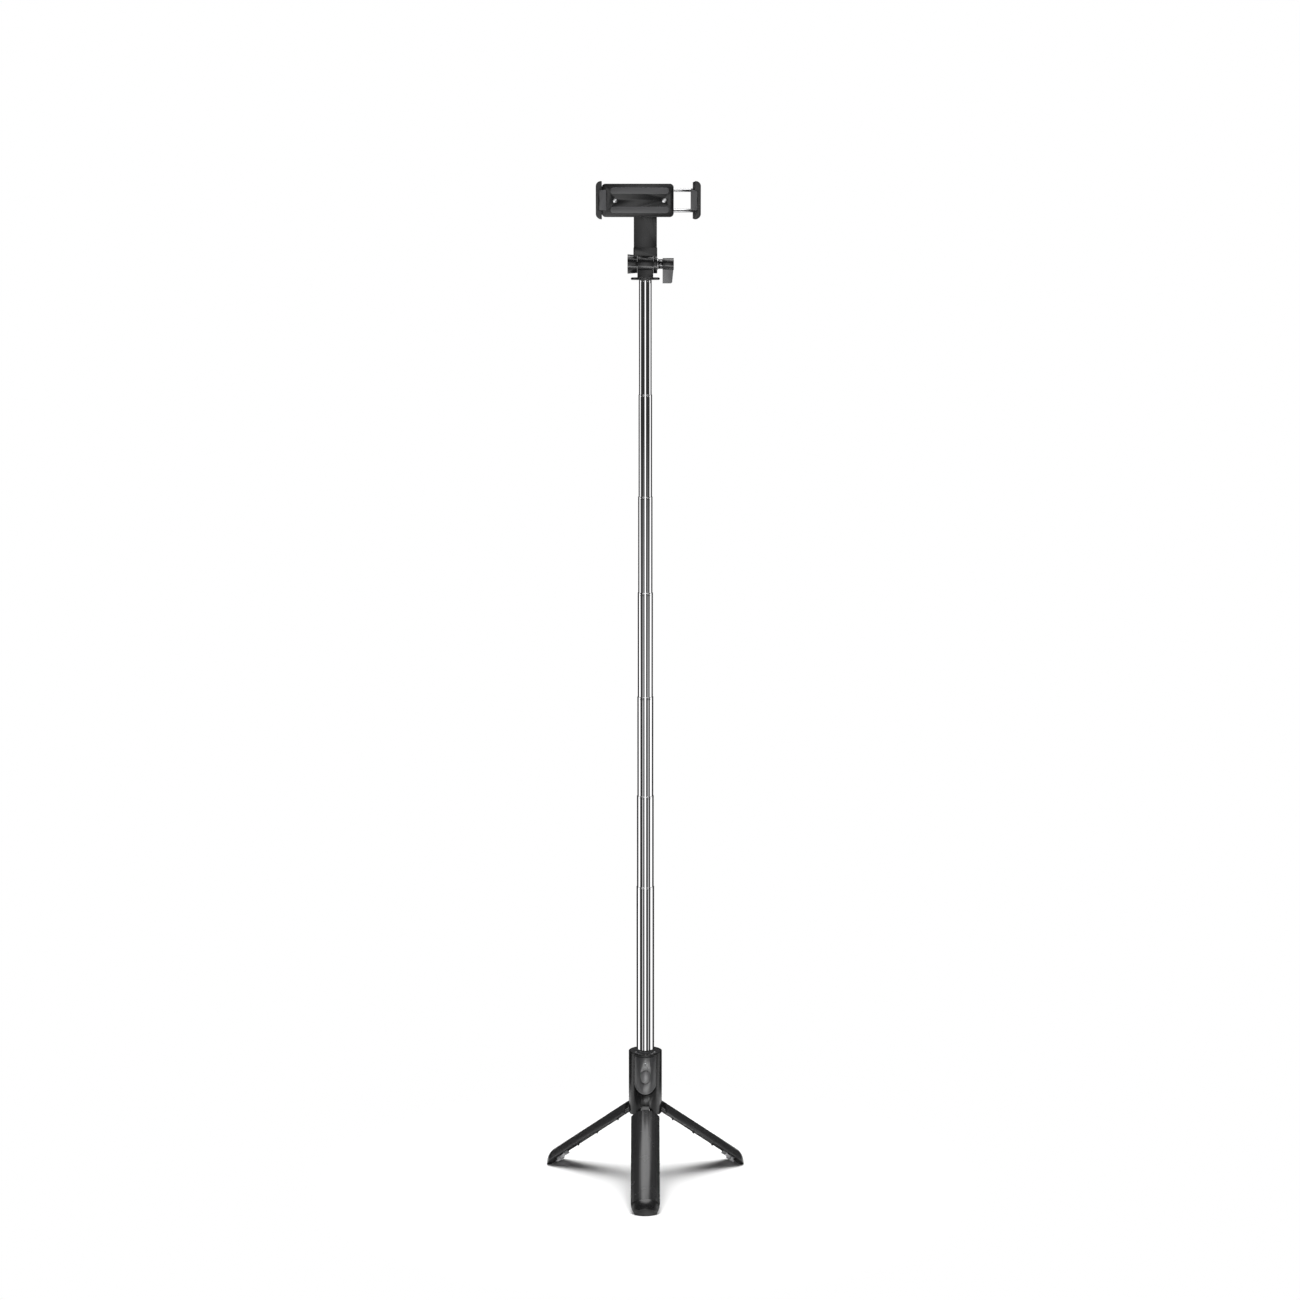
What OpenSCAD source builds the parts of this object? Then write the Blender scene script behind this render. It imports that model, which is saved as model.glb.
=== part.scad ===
/* [Pole] */
// Outer diameter of the thinnest (top) tube
pole_d = 10.2; // [9:0.1:10.4]
// Diameter that each tube gains on the one above it
tube_step = 0.72; // [0.7:0.01:0.75]
// Length of the lowest tube
tube_7_l = 152; // [151.9:0.1:152.6]
// Length that each tube loses on the one below it
tube_shorter = 6; // [5:0.5:7]
// Length of each tube that shows at rest, lowest tube first
shown = [139.1, 75.8, 82, 85.3, 78, 82, 91.3]; // [70:0.1:140]

/* [Handle] */
// Outer diameter of the handle
handle_d = 27.4; // [27:0.1:28]
// Height of the top of the handle above the floor
handle_top = 110.2; // [109:0.1:112]
// Height of the lowest point of the skirt between the legs
skirt_bottom = 57.2; // [56:0.1:58]

/* [Legs] */
// Angle of an open leg from the vertical
leg_open = 54; // [52:1:56]
// Distance of a leg's hinge pin from the pole's axis
hinge_r = 10.2; // [10.1:0.1:10.4]
// Height of the hinge pins
hinge_z = 64.9; // [64:0.1:66]
// Length of a leg from its hinge pin to its tip
leg_l = 108; // [107.5:0.1:108.5]
// Length of the tip cap
tip_l = 14; // [13:0.5:15]

/* [Remote] */
// Width of the remote control
remote_w = 18.1; // [17.4:0.1:18.2]
// Height of the lowest point of the remote control
remote_bottom = 75.8; // [75:0.1:78]
// Height of the centre of its button
button_z = 91.1; // [90.6:0.1:93]

/* [Head] */
// Height of the tilt axis above the top of the pole
tilt_h = 12.7; // [12.5:0.1:14]
// Radius of the tilt hinge
tilt_r = 7.4; // [7:0.1:7.6]
// Width of the knuckle between the fork's cheeks
knuckle_w = 12.8; // [12:0.1:13]
// Length of the lever below its axis
lever_l = 15.3; // [14:0.1:17]

/* [Phone clamp] */
// Opening between the two jaws
phone_w = 71.2; // [70:0.1:74]
// Thickness of the phone that fits under the lips
phone_t = 8; // [7:0.5:8]
// Distance of the fixed jaw's pad from the swivel axis
fixed_x = 33.25; // [33:0.05:34]
// Height of a jaw
jaw_h = 29.5; // [28:0.5:30]
// Thickness of a jaw with its pad
jaw_t = 5.7; // [5.5:0.1:6.5]

/* [Hidden] */
$fn = 72;
tiny = 0.01;

// pole
wall = 0.2;
rim_h = 1.2;
neck_l = 7;
neck_in = 0.2;
glide_l = 5;
glide_gap = 0.03;
rim_gap = 0.05;
function tube_r(i) = pole_d / 2 + (i - 1) * tube_step / 2;
function tube_top(i) = handle_top + (i == 7 ? shown[0] : tube_top(i + 1) - handle_top + shown[7 - i]);
function tube_l(i) = tube_7_l - (7 - i) * tube_shorter;
pole_top = tube_top(1);

// handle
handle_r = handle_d / 2;
bore_r = 7.9;
core_r = 8.5;
skin = 1.2;
bush_h = 5;
bush_top = handle_top - 1.7;
slot_w = 7;
swing_r = 6.2;
swing_gap = 0.3;
arch_w = 6.8;
pin_r = 0.75;
knuckle_r = 2.05;
leg_angles = [-90, 150, 30];
dish_in = 9.2;
dish_out = 12.2;

// legs
leg_skin = 2.1;
leg_gap = 0.2;
rib_in = 8.4;
sole_l = 5.5;
tip_floor = 8;
tip_in = 7.2;
sole_in = 4.5;
catch_from = 86;
catch_to = 97;
catch_in = 2.6;
catch_w = 7;
rib_angle = 24;
rib_t = 1;
wall_heights = [-30, -55, -78];
wall_in = 9.6;
seat_l = 14;
corner_y = 13.4;

// remote
remote_top = handle_top - 1.8;
remote_back_y = 9;
fit = 0.15;
button_w = 8.3;
button_h = 11;
button_gap = 0.4;
button_lip = 1;
button_back = remote_back_y + 2.9;
button_rim = 0.25;
lamp_z = button_z + 11.6;
shell_t = 1;
cell_r = 5;
cell_z = remote_bottom + 8;
cell_from = remote_back_y + 0.82;
cell_t = 1.6;
board_w = 13;
board_z = remote_bottom + 15;
board_h = 16;
board_t = 0.8;
board_front = remote_back_y + 0.85 + board_t;

// head
tilt_z = pole_top + tilt_h;
flange_r = 11.6;
flange_t = 2;
spigot_r = tube_r(1) - wall - 0.05;
spigot_l = 12;
root_t = 12.4;
screw_r = 2;
cheek_gap = 0.1;
cheek_t = 3;
boss_x = 14.2;
boss_r = 7.7;
boss_end_r = 7.1;
arm_w = 18.4;
arm_t = 6;
cheek_w = arm_t + 2.4;
bridge_z = tilt_z + tilt_r - 1.2;
bridge_t = 6.8;
bridge_gap = 0.2;
nut_r = 4.15;
nut_t = 3.2;
nut_from = 0.4;
lever_from = 13.8;
lever_to = 22.7;
lever_r = 4.7;
wing_t = 3.4;
neck_r = 3.9;
neck_from = knuckle_w / 2 + cheek_gap + cheek_t + 0.75;

// round lower corner of the lever's wing
wing_corner_r = 1.4;
wing_corner = [for (a = [-90:15:0])
    [6.3 + wing_corner_r * cos(a), -lever_l + wing_corner_r + wing_corner_r * sin(a)]];

// arm's round head and its swivel
swivel_r = 8;
swivel_screw_r = 1.6;
recess_w = 10;
recess_h = 34;
recess_depth = 2.4;

// phone clamp
clamp_z = tilt_z + 49.9;
clamp_back = 10.4;
body_t = 7.2;
seat_y = clamp_back + body_t + 0.3;
front_y = seat_y + phone_t + 3.2;
body_h = 26;
body_from = -fixed_x - 1.2;
body_to = 22.4;
moving_x = phone_w - fixed_x;
rod_z = 8;
rod_r = 1.4;
rod_y = 14.2;
rod_end = -15.5;
rod_stop_r = 2.1;
rod_stop_l = 1.2;
spring_r = 2.05;
spring_wire = 0.4;
lip_h = 15.6;
lip_in = 2.3;
lip_root = 3;
cavity_from = -31.5;
cavity_to = 19.4;
cover_t = 1.2;
back_wall = 1.6;
swivel_head = clamp_back + back_wall + 0.6;
cross_w = 4;
cross_t = 0.7;
cover_points = [[-24, 0], [15, 0]];
jaw_face = 1.2;
jaw_corner = 4;
root_moving = 0.4;
jaw_pocket_z = 11.2;
pad_t = 2.1;
pad_foot = 4.1;
waist_r = 14.6;
waist_x = 17.4;

// a rectangle with round corners, centred
module round_rect(w, h, r) {
    for (x = [-1, 1], y = [-1, 1])
        translate([x * (w / 2 - r), y * (h / 2 - r)]) circle(r);
    square([w - 2 * r, h], center = true);
    square([w, h - 2 * r], center = true);
}

// a cylinder along X
module rod_x(r, from, to, fn = 72) {
    translate([from, 0, 0]) rotate([0, 90, 0]) cylinder(r = r, h = to - from, $fn = fn);
}

// a cylinder along -Y, from one distance in front of the pole's axis to another
module rod_y(r, from, to, fn = 72) {
    translate([0, -from, 0]) rotate([90, 0, 0]) cylinder(r = r, h = to - from, $fn = fn);
}

// ---- pole ----

module tube(i) {
    r = tube_r(i);
    l = tube_l(i);
    mouth = i == 1 ? r - wall : tube_r(i - 1) + rim_gap;
    color("silver") translate([0, 0, tube_top(i) - l]) rotate_extrude() polygon([
        [r - neck_in - wall, 0], [r - neck_in, 0], [r - neck_in, neck_l], [r, neck_l + neck_in],
        [r, l - 0.15], [r - 0.15, l], [mouth, l], [mouth, l - rim_h],
        [r - wall, l - rim_h - 0.2], [r - wall, neck_l + neck_in], [r - neck_in - wall, neck_l]]);
}

module glide(i) {
    r = tube_r(i);
    outer = i == 7 ? bore_r - 0.08 : tube_r(i + 1) - wall - glide_gap;
    color("goldenrod") translate([0, 0, tube_top(i) - tube_l(i) + (neck_l - glide_l) / 2])
        difference() {
            cylinder(r = outer, h = glide_l);
            translate([0, 0, -1]) cylinder(r = r - neck_in, h = glide_l + 2);
        }
}

// ---- handle ----

// a cylinder along Y about the origin
module pin_y(r, half) {
    rotate([90, 0, 0]) cylinder(r = r, h = 2 * half, center = true);
}

// the arch that one leg leaves under the skirt
module leg_room() {
    translate([hinge_r, 0, hinge_z]) {
        difference() {
            translate([-3, -arch_w, -30]) cube([12, 2 * arch_w, 30]);
            pin_y(swing_r, arch_w + 1);
        }
        for (s = [-1, 1]) translate([-8, 0, 0]) rotate([90, 0, 90]) linear_extrude(20) polygon([
            [s * (arch_w - 0.4), -5.6], [s * (arch_w + 1.5), -6.2], [s * corner_y, -7.6],
            [s * 16, -7.6], [s * 16, -30], [s * (arch_w - 0.4), -30]]);
    }
}

// slot in the skirt for one leg's knuckle
module knuckle_slot() {
    translate([hinge_r, 0, hinge_z]) {
        pin_y(4, slot_w / 2);
        translate([-3.2, -slot_w / 2, -20]) cube([12, slot_w, 20]);
    }
}

module remote_outline(grow) {
    w = remote_w / 2 + grow;
    translate([0, remote_bottom + remote_w / 2]) circle(w);
    translate([-w, remote_bottom + remote_w / 2])
        square([2 * w, remote_top - remote_bottom - remote_w / 2 + grow]);
}

// hollow between the outer wall and the core tube, beside and behind the remote
module housing_hollow() {
    translate([0, 0, hinge_z + 5]) difference() {
        cylinder(r = handle_r - skin, h = handle_top - 4.7 - hinge_z - 5, $fn = 120);
        translate([0, 0, -1]) cylinder(r = core_r, h = 60);
        translate([-remote_w / 2 - 1.4, -20, -1]) cube([remote_w + 2.8, 15, 60]);
    }
}

module handle_housing() {
    color("#1b1b1c") difference() {
        translate([0, 0, skirt_bottom]) cylinder(r = handle_r, h = handle_top - skirt_bottom, $fn = 120);
        translate([0, 0, skirt_bottom - 2]) cylinder(r = bore_r, h = bush_top - bush_h - skirt_bottom + 3);
        translate([0, 0, bush_top - bush_h]) cylinder(r = core_r, h = 20);
        translate([0, 0, bush_top - 1.5]) cylinder(r = handle_r - skin, h = 20, $fn = 120);
        housing_hollow();
        for (a = leg_angles) rotate(a) {
            leg_room();
            knuckle_slot();
            translate([hinge_r, 0, hinge_z]) pin_y(pin_r, 6);
        }
        translate([0, -remote_back_y + fit, 0]) rotate([90, 0, 0]) linear_extrude(10) remote_outline(fit);
    }
}

module housing_collar() {
    color("#2b2b2d") translate([0, 0, bush_top - 1.5]) difference() {
        cylinder(r = handle_r - skin - 0.02, h = handle_top - bush_top + 1.5 - 0.3, $fn = 120);
        translate([0, 0, -1]) cylinder(r = core_r, h = 6);
        translate([0, 0, 2]) cylinder(r1 = dish_in, r2 = dish_out, h = 1.3);
        translate([-remote_w / 2 - fit, -handle_r, -1])
            cube([remote_w + 2 * fit, handle_r - remote_back_y + fit, 2.6]);
    }
}

module pole_bush() {
    color("#0d0d0d") translate([0, 0, bush_top - bush_h]) difference() {
        cylinder(r = core_r, h = bush_h);
        translate([0, 0, -1]) cylinder(r = tube_r(7) + 0.04, h = bush_h + 2);
        translate([0, 0, bush_h - 0.6]) cylinder(r1 = tube_r(7) + 0.04, r2 = tube_r(7) + 0.7, h = 0.6 + tiny);
    }
}

module hinge_pins() {
    color("silver") for (a = leg_angles) rotate(a)
        translate([hinge_r, 0, hinge_z]) pin_y(pin_r, 6);
}

// ---- legs: drawn folded, hinge at the origin, leg along -Z, outer face towards +X ----

module leg_place(a) {
    rotate(a) translate([hinge_r, 0, hinge_z]) rotate([0, -leg_open, 0]) translate([-hinge_r, 0, 0]) children();
}

module leg_wedge() {
    polygon([[0, 0], [40 * cos(60), 40 * sin(60)], [60, 0], [40 * cos(60), -40 * sin(60)]]);
}

module leg_section(inner) {
    intersection() {
        difference() {
            circle(handle_r - tiny, $fn = 120);
            circle(inner, $fn = 120);
        }
        translate([leg_gap / sin(60), 0]) leg_wedge();
    }
}

// everything inside the folded legs' common domed end, and flat where the leg meets the floor
module leg_profile() {
    difference() {
        translate([0, 0, -leg_l + handle_r]) {
            sphere(handle_r - tiny, $fn = 120);
            cylinder(r = handle_r - tiny, h = leg_l, $fn = 120);
        }
        translate([hinge_r, 0, 0]) rotate([0, leg_open, 0])
            translate([-200, -50, -hinge_z - 40]) cube([400, 100, 40]);
    }
}

// keeps a leg's upper end clear of the skirt
module leg_top_cut() {
    translate([hinge_r, 0, 0]) {
        pin_y(swing_r + swing_gap, 20);
        for (s = [-1, 1]) translate([-12, 0, 0]) rotate([90, 0, 90]) linear_extrude(20) polygon([
            [s * (arch_w - 1), 2], [s * (arch_w - 1), -5.9], [s * (arch_w + 1.5), -6.7],
            [s * corner_y, -8], [s * 16, -8], [s * 16, 2]]);
        translate([-12, -20, 0]) cube([40, 40, 20]);
    }
}

module leg_shell(a) {
    color("#262627") leg_place(a) difference() {
        union() {
            translate([0, 0, -leg_l + tip_l])
                linear_extrude(leg_l - tip_l) leg_section(handle_r - leg_skin);
            // two ribs and two cross walls stiffen the shell
            for (s = [-1, 1]) intersection() {
                translate([0, 0, -leg_l + tip_l]) linear_extrude(leg_l - tip_l - 10) leg_section(rib_in);
                rotate(s * rib_angle) translate([0, -rib_t / 2, -leg_l]) cube([20, rib_t, leg_l]);
            }
            for (z = wall_heights) translate([0, 0, z]) linear_extrude(rib_t) leg_section(wall_in);
        }
        leg_top_cut();
    }
}

module leg_knuckle(a) {
    w = slot_w - 0.6;
    seat_r = handle_r - leg_skin - 0.05;
    back_x = hinge_r - 1.6;
    color("#0e0e0e") leg_place(a) difference() {
        intersection() {
            union() {
                translate([hinge_r, 0, 0]) pin_y(knuckle_r, w / 2);
                translate([hinge_r, -w / 2, -seat_l]) cube([seat_r - hinge_r, w, seat_l]);
                translate([back_x, -w / 2, -seat_l]) cube([2, w, seat_l]);
                intersection() {
                    translate([hinge_r, 0, 0]) pin_y(swing_r + swing_gap, w / 2);
                    translate([back_x, -w / 2, -swing_r - 1]) cube([8, w, swing_r + 1.8]);
                }
            }
            translate([0, 0, -20]) cylinder(r = handle_r - 0.25, h = 30, $fn = 120);
            union() {
                translate([0, 0, -seat_l]) cylinder(r = seat_r, h = 8.6, $fn = 120);
                translate([0, -w, -6.4]) cube([20, 2 * w, 12]);
            }
        }
        translate([hinge_r, 0, 0]) pin_y(pin_r + 0.05, 10);
    }
}

module leg_tip(a) {
    color("#202021") leg_place(a) intersection() {
        difference() {
            translate([0, 0, -leg_l]) linear_extrude(tip_l - 0.05) leg_section(tip_in);
            translate([0, 0, -leg_l + tip_floor]) linear_extrude(tip_l) leg_pocket();
            leg_end(0.02);
        }
        leg_profile();
    }
}

// hollow of the tip cap, behind its skin
module leg_pocket() {
    intersection() {
        circle(handle_r - leg_skin, $fn = 120);
        translate([2.2, 0]) leg_wedge();
    }
}

// the end of the leg that is rubber
module leg_end(grow) {
    translate([0, 0, -leg_l - 1]) cylinder(r = 2 * handle_r, h = sole_l + 1 + grow);
}

module leg_sole(a) {
    color("#0a0a0a") leg_place(a) intersection() {
        translate([0, 0, -leg_l]) linear_extrude(sole_l) leg_section(sole_in);
        leg_profile();
    }
}

// hooked lug and its pin, under the leg near the tip
module leg_catch(a) {
    color("#9a9a9a") leg_place(a) {
        difference() {
            union() {
                translate([catch_in, -catch_w / 2, -catch_to]) cube([3.2, catch_w, 4]);
                translate([catch_in, -catch_w / 2 + 1, -catch_to])
                    cube([handle_r - leg_skin - catch_in - 0.3, catch_w - 2, 2.2]);
                translate([catch_in + 1.2, -1.2, -catch_to + 2]) cube([2, 2.4, catch_to - catch_from - 2]);
                translate([catch_in + 1.2, -catch_w / 2, -catch_from - 3]) cube([2, catch_w, 3]);
                translate([catch_in + 1.2, -catch_w / 2 + 1, -catch_from - 2])
                    cube([handle_r - leg_skin - catch_in - 1.5, catch_w - 2, 2]);
            }
            translate([0, 0, -catch_to + 2]) rod_x(1.1, 0, 20);
        }
    }
}

// ---- remote ----

module remote_solid(grow) {
    intersection() {
        translate([0, 0, remote_bottom - 5]) cylinder(r = handle_r - 0.1 + grow, h = 50, $fn = 120);
        rotate([90, 0, 0]) linear_extrude(20) remote_outline(grow);
    }
}

module remote_front() {
    color("#3a3a3b") difference() {
        intersection() {
            remote_solid(0);
            translate([-15, -20, 0]) cube([30, 20 - remote_back_y - 0.8, 200]);
        }
        // hollow behind the front
        translate([0, -remote_back_y, 0]) intersection() {
            rotate([90, 0, 0]) linear_extrude(3.2) remote_outline(-0.9);
            translate([0, remote_back_y, 0]) cylinder(r = handle_r - 0.1 - shell_t, h = 200, $fn = 120);
        }
        // button well, indicator hole
        button_shape(button_gap, remote_back_y, 20);
        translate([0, 0, lamp_z]) rod_y(0.55, remote_back_y, 20, 32);
    }
}

module button_shape(grow, from, to) {
    translate([0, -from, button_z]) rotate([90, 0, 0]) linear_extrude(to - from) {
        w = button_w / 2 + grow;
        for (s = [-1, 1]) translate([0, s * (button_h - button_w) / 2]) circle(w);
        square([2 * w, button_h - button_w], center = true);
    }
}

module remote_back() {
    color("#2c2c2d") difference() {
        intersection() {
            remote_solid(0);
            translate([-15, -remote_back_y - 0.78, 0]) cube([30, 0.78, 200]);
        }
        translate([0, 0, cell_z]) rod_y(3, remote_back_y - 1, remote_back_y + 0.3);
    }
}

module remote_button() {
    color("#454547") {
        intersection() {
            button_shape(0, button_back, 20);
            cylinder(r = handle_r - 0.15, h = 200, $fn = 120);
        }
        // lips at both ends that keep the button behind the front
        intersection() {
            button_shape(button_lip, button_back, button_back + button_rim);
            cylinder(r = handle_r - 0.2 - shell_t, h = 200, $fn = 120);
        }
    }
}

module remote_board() {
    color("darkgreen") translate([-board_w / 2, -board_front, board_z]) cube([board_w, board_t, board_h]);
}

module coin_cell() {
    color("silver") translate([0, 0, cell_z]) rod_y(cell_r, cell_from, cell_from + cell_t);
}

module cell_clip() {
    color("goldenrod") translate([-1.2, -cell_from - cell_t - 0.28, cell_z - 6.9]) cube([2.4, 0.25, 6.9]);
}

module dome_switch() {
    color("silver") translate([0, 0, button_z + 2]) rod_y(1.6, board_front, board_front + 0.8);
}

module indicator() {
    color("white") translate([0, 0, lamp_z]) rod_y(0.5, board_front, handle_r - 0.15, 32);
}

// ---- head ----

module head_base() {
    color("#161617") difference() {
        union() {
            translate([0, 0, pole_top + 0.1]) rotate_extrude() {
                translate([flange_r - flange_t / 2, flange_t / 2]) circle(flange_t / 2);
                square([flange_r - flange_t / 2, flange_t]);
            }
            translate([0, 0, pole_top - spigot_l]) cylinder(r = spigot_r, h = spigot_l + 1);
            translate([-knuckle_w / 2 + 0.1, -root_t / 2, pole_top + 1]) cube([knuckle_w - 0.2, root_t, 7]);
            translate([0, 0, tilt_z]) rod_x(tilt_r, -knuckle_w / 2, knuckle_w / 2);
        }
        translate([0, 0, tilt_z]) rod_x(screw_r + 0.05, -20, 20);
        translate([0, 0, pole_top - spigot_l - 1]) cylinder(r = spigot_r / 2, h = spigot_l);
    }
}

module tilt_arm() {
    left = knuckle_w / 2 + cheek_gap;
    color("#131313") difference() {
        union() {
            translate([0, 0, tilt_z]) {
                rod_x(tilt_r, left, left + cheek_t);
                translate([-boss_x, 0, 0]) rotate([0, 90, 0])
                    cylinder(r1 = boss_r, r2 = boss_end_r, h = boss_x - left);
            }
            // cheeks rise to the bridge, which is hollowed over the knuckle
            for (s = [-1, 1]) translate([s > 0 ? left : -left - cheek_t, -cheek_w / 2, tilt_z])
                cube([cheek_t, cheek_w, tilt_r + 3]);
            difference() {
                translate([-left - cheek_t, -cheek_w / 2, bridge_z])
                    cube([2 * (left + cheek_t), cheek_w, bridge_t]);
                translate([0, 0, tilt_z]) rod_x(tilt_r + bridge_gap, -left, left);
            }
            // arm and its round head
            translate([-arm_w / 2, -arm_t / 2, bridge_z + bridge_t / 2])
                cube([arm_w, arm_t, clamp_z - bridge_z - bridge_t / 2]);
            translate([0, 0, clamp_z]) {
                rod_y(arm_w / 2, -arm_t / 2, arm_t / 2);
                rod_y(swivel_r, arm_t / 2 - tiny, clamp_back - 0.2);
            }
        }
        translate([0, 0, tilt_z]) {
            rod_x(screw_r + 0.05, -20, 20);
            // pocket for the nut
            rod_x(nut_r, -boss_x - 1, -boss_x + nut_from + nut_t, 6);
        }
        translate([0, 0, clamp_z]) {
            rod_y(swivel_screw_r, -arm_t / 2 + 1.5, 12);
            // recess in the back of the arm
            translate([0, arm_t / 2 + tiny, -20]) rotate([90, 0, 0]) linear_extrude(recess_depth)
                round_rect(recess_w, recess_h, 2.5);
        }
    }
}

module tilt_screw() {
    color("silver") translate([0, 0, tilt_z]) {
        rod_x(screw_r, -boss_x + 0.4, lever_from + 4);
        rod_x(neck_r, neck_from, lever_from);
    }
}

module tilt_lever() {
    color("#1a1a1b") difference() {
        union() {
            translate([0, 0, tilt_z]) rod_x(lever_r, lever_from, lever_to);
            translate([lever_from, 0, tilt_z]) rotate([90, 0, 0]) linear_extrude(wing_t, center = true)
                polygon(concat([[0, 0], [0, -lever_l]], wing_corner,
                    [[lever_to - lever_from - 0.3, -lever_r], [lever_to - lever_from - 0.3, 0]]));
        }
        translate([0, 0, tilt_z]) rod_x(screw_r, lever_from - 1, lever_from + 4);
    }
}

module tilt_nut() {
    color("silver") translate([0, 0, tilt_z]) difference() {
        rod_x(nut_r - 0.11, -boss_x + nut_from - 0.05, -boss_x + nut_from - 0.05 + nut_t, 6);
        rod_x(screw_r + 0.02, -20, 0);
    }
}

module tilt_washer() {
    color("silver") translate([0, 0, tilt_z]) difference() {
        rod_x(4.6, neck_from - 0.73, neck_from - 0.03);
        rod_x(screw_r + 0.05, 0, 20);
    }
}

// ---- phone clamp ----

module swivel_screw() {
    color("silver") translate([0, 0, clamp_z]) difference() {
        union() {
            rod_y(swivel_screw_r, -arm_t / 2 + 1.6, swivel_head);
            rod_y(2, clamp_back - 0.15, swivel_head);
            rod_y(3.6, swivel_head, swivel_head + 1.6);
        }
        // cross recess
        for (a = [0, 90]) rotate([0, a, 0])
            translate([-cross_w / 2, -swivel_head - 2.4, -cross_t / 2]) cube([cross_w, 1.8, cross_t]);
    }
}

module swivel_washer() {
    color("silver") translate([0, 0, clamp_z]) difference() {
        rod_y(4.2, clamp_back + back_wall + 0.08, swivel_head - 0.04);
        rod_y(2.04, 5, 20);
    }
}

module clamp_outline(from, to, h, r) {
    translate([(from + to) / 2, 0]) round_rect(to - from, h, r);
}

module clamp_body() {
    color("#151516") translate([0, 0, clamp_z]) difference() {
        translate([0, -clamp_back, 0]) rotate([90, 0, 0]) linear_extrude(body_t - cover_t)
            clamp_outline(body_from, body_to, body_h, 3);
        translate([0, -clamp_back - back_wall, 0]) rotate([90, 0, 0]) linear_extrude(10)
            clamp_outline(cavity_from, cavity_to, body_h - 3.4, 2);
        rod_y(2.05, 0, 30);
        for (s = [-1, 1]) translate([0, -rod_y, s * rod_z]) rod_x(rod_r + 0.05, cavity_to - 2, body_to + 2);
    }
    // posts for the cover's screws
    color("#151516") for (p = cover_points) translate([p[0], 0, clamp_z + p[1]]) difference() {
        rod_y(2.2, clamp_back + back_wall - tiny, clamp_back + body_t - cover_t);
        rod_y(0.9, clamp_back + back_wall + 0.5, 30);
    }
}

module clamp_cover() {
    color("#1d1d1e") translate([0, 0, clamp_z]) difference() {
        translate([0, -clamp_back - body_t + cover_t - 0.02, 0]) rotate([90, 0, 0]) linear_extrude(cover_t)
            clamp_outline(body_from, body_to, body_h, 3);
        for (p = cover_points) translate([p[0], 0, p[1]]) {
            rod_y(0.95, 0, 30);
            rod_y(1.9, clamp_back + body_t - 0.7, 30);
        }
    }
}

module cover_screws() {
    color("silver") for (p = cover_points) translate([p[0], 0, clamp_z + p[1]]) {
        rod_y(0.88, clamp_back + back_wall + 0.7, clamp_back + body_t - 0.6);
        rod_y(1.75, clamp_back + body_t - 0.66, clamp_back + body_t - 0.06);
    }
}

module back_pad() {
    color("#0c0c0c") translate([0, 0, clamp_z]) for (s = [-1, 1]) translate([-4.5, 0, s * 7.5])
        translate([0, -clamp_back - body_t - 0.02, 0]) rotate([90, 0, 0]) linear_extrude(0.26) round_rect(46, 5, 2);
}

// a jaw that reaches from its pad outwards along +X, drawn at x = 0
module jaw(root) {
    translate([0, 0, clamp_z]) difference() {
        union() {
            translate([0, -clamp_back, 0]) rotate([90, 0, 0]) linear_extrude(front_y - clamp_back) {
                translate([jaw_face, -jaw_h / 2]) square([jaw_t - jaw_face - jaw_corner, jaw_h]);
                translate([jaw_face, -jaw_h / 2 + jaw_corner]) square([jaw_t - jaw_face, jaw_h - 2 * jaw_corner]);
                for (s = [-1, 1]) translate([jaw_t - jaw_corner, s * (jaw_h / 2 - jaw_corner)]) circle(jaw_corner);
            }
            if (root > 0) translate([-root, -clamp_back - body_t + 0.02, -body_h / 2 + 1])
                cube([root + 2, body_t - 0.4, body_h - 2]);
        }
        // keeps the round corners inside the jaw's inner face
        translate([-10, -front_y - 1, -jaw_h / 2 - 1]) {
            cube([10 + jaw_face, front_y - seat_y + 1.02, jaw_h + 2]);
            cube([10 + (root == 0 ? jaw_face : -root), 40, jaw_h + 2]);
        }
        // recess in the front face and the seat of the pad
        translate([0, -front_y - 1, 0]) rotate([-90, 0, 0]) linear_extrude(1.8) pad_outline(0.12);
        translate([0, -front_y - 1, -lip_h / 2 - 0.1]) {
            cube([pad_t + 0.1, front_y - seat_y - 1, lip_h + 0.2]);
            cube([lip_root + 0.1, 4.3, lip_h + 0.2]);
        }
        for (s = [-1, 1]) translate([jaw_face - tiny, -seat_y - 4.5, s * jaw_pocket_z - 1.4])
            cube([1.4, 3.2, 2.8]);
    }
}

// front view of the pad's lip: waisted on its outer side
module pad_outline(grow) {
    h = lip_h / 2 + grow;
    difference() {
        translate([-lip_in - grow, -h]) square([lip_in + 3.6 + 2 * grow, 2 * h]);
        translate([waist_x, 0]) circle(waist_r - grow, $fn = 120);
    }
}

module pad() {
    lip_back = seat_y + phone_t;
    translate([0, 0, clamp_z]) {
        translate([0, -front_y + 0.3, 0]) rotate([-90, 0, 0]) linear_extrude(front_y - lip_back - 0.4)
            intersection() {
                pad_outline(0);
                translate([-10, -20]) square([10 + lip_root, 40]);
            }
        difference() {
            translate([0, -front_y + 2, -lip_h / 2]) cube([pad_t, front_y - seat_y - pad_foot, lip_h]);
            // ribs between grooves
            for (z = [-6:2:6]) translate([-0.2, -front_y + 3.4, z - 0.35])
                cube([0.5, front_y - seat_y - 4, 0.7]);
        }
    }
}

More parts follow.
